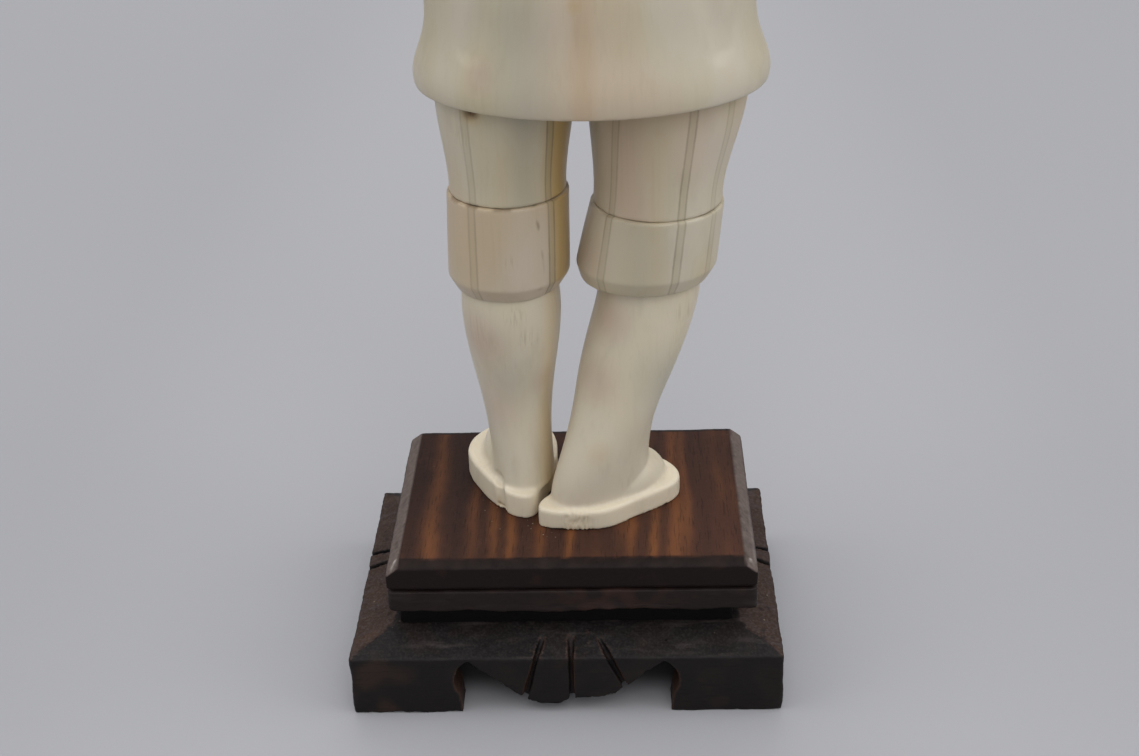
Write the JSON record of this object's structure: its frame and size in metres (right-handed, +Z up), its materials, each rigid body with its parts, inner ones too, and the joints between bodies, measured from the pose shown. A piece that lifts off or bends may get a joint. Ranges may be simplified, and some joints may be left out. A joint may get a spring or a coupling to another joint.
{
  "type": "carved standing figure okimono",
  "caption": "Carved standing figure in a belted short coat, cuffed trousers and thick sandals, on a tiered hardwood stand with a scooped and fan-cut apron.",
  "frame": {"origin": "middle of the stand's footprint, in the plane of its four feet", "axes": "+Z is up, the figure faces -Y, and +X is on the figure's left"},
  "size_m": [0.0819, 0.0646, 0.2029],
  "materials": {
    "carved_body": "polished satin, ivory tone with fine grain and light age staining",
    "stand_wood": "dark stained hardwood, satin top and rough-cut edges",
    "peg_wood": "plain turned dowel"
  },
  "bodies": {
    "root": {"plinth_lower": "stand_wood", "waist_block": "stand_wood", "middle_board": "stand_wood", "top_board": "stand_wood", "stand_dowels": "peg_wood", "leg_left": "carved_body", "leg_right": "carved_body", "cuff_left": "carved_body", "cuff_right": "carved_body", "trouser_left": "carved_body", "trouser_right": "carved_body", "coat_skirt": "carved_body", "belt": "carved_body", "belt_knot": "carved_body", "coat_body": "carved_body", "sleeve_left": "carved_body", "sleeve_right": "carved_body", "hand_left": "carved_body", "hand_right": "carved_body", "head": "carved_body", "topknot": "carved_body", "foot_pins": "peg_wood", "knee_pegs": "peg_wood", "hip_pegs": "peg_wood", "waist_peg": "peg_wood", "neck_peg": "peg_wood", "shoulder_pegs": "peg_wood", "wrist_pegs": "peg_wood"}
  },
  "joints": []
}
